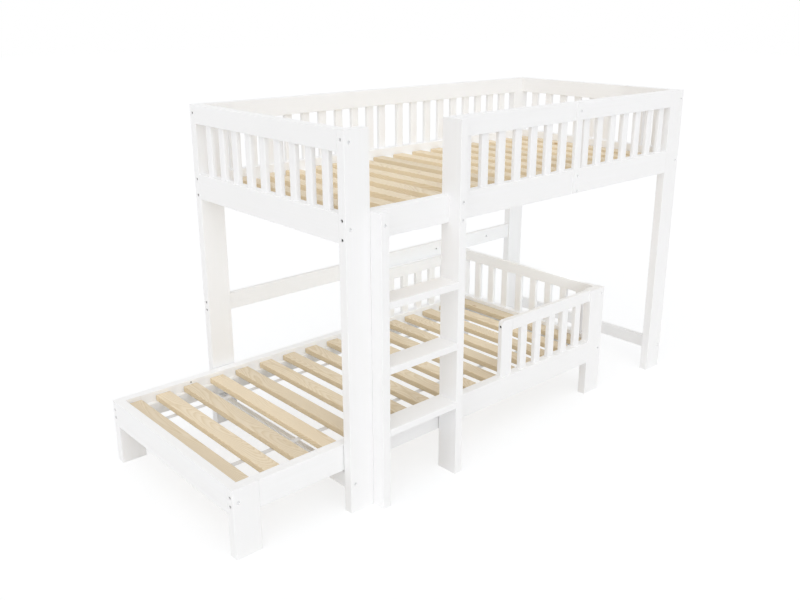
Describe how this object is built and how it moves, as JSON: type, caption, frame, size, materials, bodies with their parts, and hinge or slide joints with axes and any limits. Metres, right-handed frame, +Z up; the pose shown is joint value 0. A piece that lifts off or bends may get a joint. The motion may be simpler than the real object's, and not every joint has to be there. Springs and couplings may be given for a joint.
{
  "type": "bunk bed",
  "caption": "High timber loft bed with spindle guards and a front ladder, over a low slatted bed that slides out lengthwise from under it.",
  "frame": {"origin": "on the floor, under the middle of the whole outline with the low bed where the picture shows it", "axes": "+X along the length, towards the low bed's guarded end; +Y from the ladder side towards the back; +Z up"},
  "size_m": [2.551, 1.075, 1.436],
  "materials": {
    "painted_pine": "white satin furniture paint on pine",
    "natural_pine": "sawn and planed pine, unpainted",
    "woven_tape": "woven light grey tape",
    "beech": "turned beech, fluted dowels",
    "dark_steel": "dark plated steel"
  },
  "bodies": {
    "loft": {"post_front_left": "painted_pine", "post_front_right": "painted_pine", "post_back_left": "painted_pine", "post_back_right": "painted_pine", "end_guard_rail_left": "painted_pine", "end_bed_rail_left": "painted_pine", "end_stretcher_left": "painted_pine", "end_spindles_left": "painted_pine", "end_guard_rail_right": "painted_pine", "end_bed_rail_right": "painted_pine", "end_stretcher_right": "painted_pine", "end_spindles_right": "painted_pine", "front_bed_rail_left": "painted_pine", "front_bed_rail_right": "painted_pine", "front_guard_rail_left": "painted_pine", "front_guard_rail_right": "painted_pine", "front_spindles": "painted_pine", "back_bed_rail_left": "painted_pine", "back_bed_rail_right": "painted_pine", "back_guard_rail_left": "painted_pine", "back_guard_rail_right": "painted_pine", "back_spindles": "painted_pine", "back_mid_rail_left": "painted_pine", "back_mid_rail_right": "painted_pine", "ladder_board_left": "painted_pine", "ladder_board_right": "painted_pine", "tread_low": "painted_pine", "tread_middle": "painted_pine", "tread_high": "painted_pine", "loft_ledgers": "painted_pine", "loft_slats": "natural_pine", "loft_slat_tapes": "woven_tape", "loft_bolts": "dark_steel", "loft_barrel_nuts": "dark_steel", "loft_dowels": "beech", "lap_bolts": "dark_steel", "ladder_bolts": "dark_steel", "sleeve_nuts": "dark_steel", "loft_ledger_screws": "dark_steel"},
    "low_bed": {"leg_front_left": "painted_pine", "leg_front_right": "painted_pine", "leg_back_left": "painted_pine", "leg_back_right": "painted_pine", "bed_end_board_left": "painted_pine", "bed_end_board_right": "painted_pine", "bed_side_rail_front": "painted_pine", "bed_side_rail_back": "painted_pine", "bed_guard_rail_front": "painted_pine", "bed_guard_rail_back": "painted_pine", "bed_guard_rail_end": "painted_pine", "bed_guard_uprights_front": "painted_pine", "bed_guard_uprights_back": "painted_pine", "bed_guard_spindles_end": "painted_pine", "bed_ledgers": "painted_pine", "bed_slats": "natural_pine", "bed_slat_tapes": "woven_tape", "bed_bolts": "dark_steel", "bed_barrel_nuts": "dark_steel", "bed_dowels": "beech", "bed_ledger_screws": "dark_steel"}
  },
  "joints": [
    {"name": "low_bed_slide", "type": "slide", "parent": "loft", "child": "low_bed", "axis": [1, 0, 0], "range_m": [-1.46, 0.37]}
  ]
}
